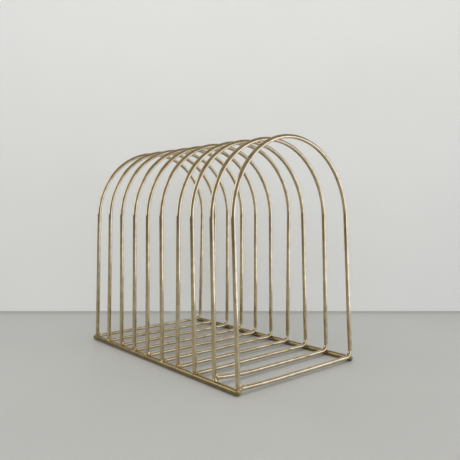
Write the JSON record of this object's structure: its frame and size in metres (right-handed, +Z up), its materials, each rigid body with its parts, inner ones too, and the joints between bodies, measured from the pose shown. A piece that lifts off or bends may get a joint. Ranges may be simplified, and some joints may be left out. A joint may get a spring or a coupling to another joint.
{
  "type": "photo album stand",
  "caption": "Freestanding wire rack: arched loops stand in a row across straight base rails and hold photo albums upright in the slots between them.",
  "frame": {"origin": "on the surface that the stand rests on, under the middle of the rails, which is the bottom centre of its box", "axes": "+X across the row towards the right-hand rail, +Y along the rails towards the rear loop, +Z up"},
  "size_m": [0.152, 0.2454, 0.2146],
  "materials": {
    "loop_wire": "satin pale antique brass plating on drawn steel wire",
    "rail_wire": "satin pale antique brass plating on drawn steel rod",
    "weld_metal": "slightly rough fused metal, plated over with the rest"
  },
  "bodies": {
    "root": {"loop_01": "loop_wire", "loop_02": "loop_wire", "loop_03": "loop_wire", "loop_04": "loop_wire", "loop_05": "loop_wire", "loop_06": "loop_wire", "loop_07": "loop_wire", "loop_08": "loop_wire", "loop_09": "loop_wire", "loop_10": "loop_wire", "rail_left": "rail_wire", "rail_right": "rail_wire", "welds_01": "weld_metal", "welds_02": "weld_metal", "welds_03": "weld_metal", "welds_04": "weld_metal", "welds_05": "weld_metal", "welds_06": "weld_metal", "welds_07": "weld_metal", "welds_08": "weld_metal", "welds_09": "weld_metal", "welds_10": "weld_metal"}
  },
  "joints": []
}
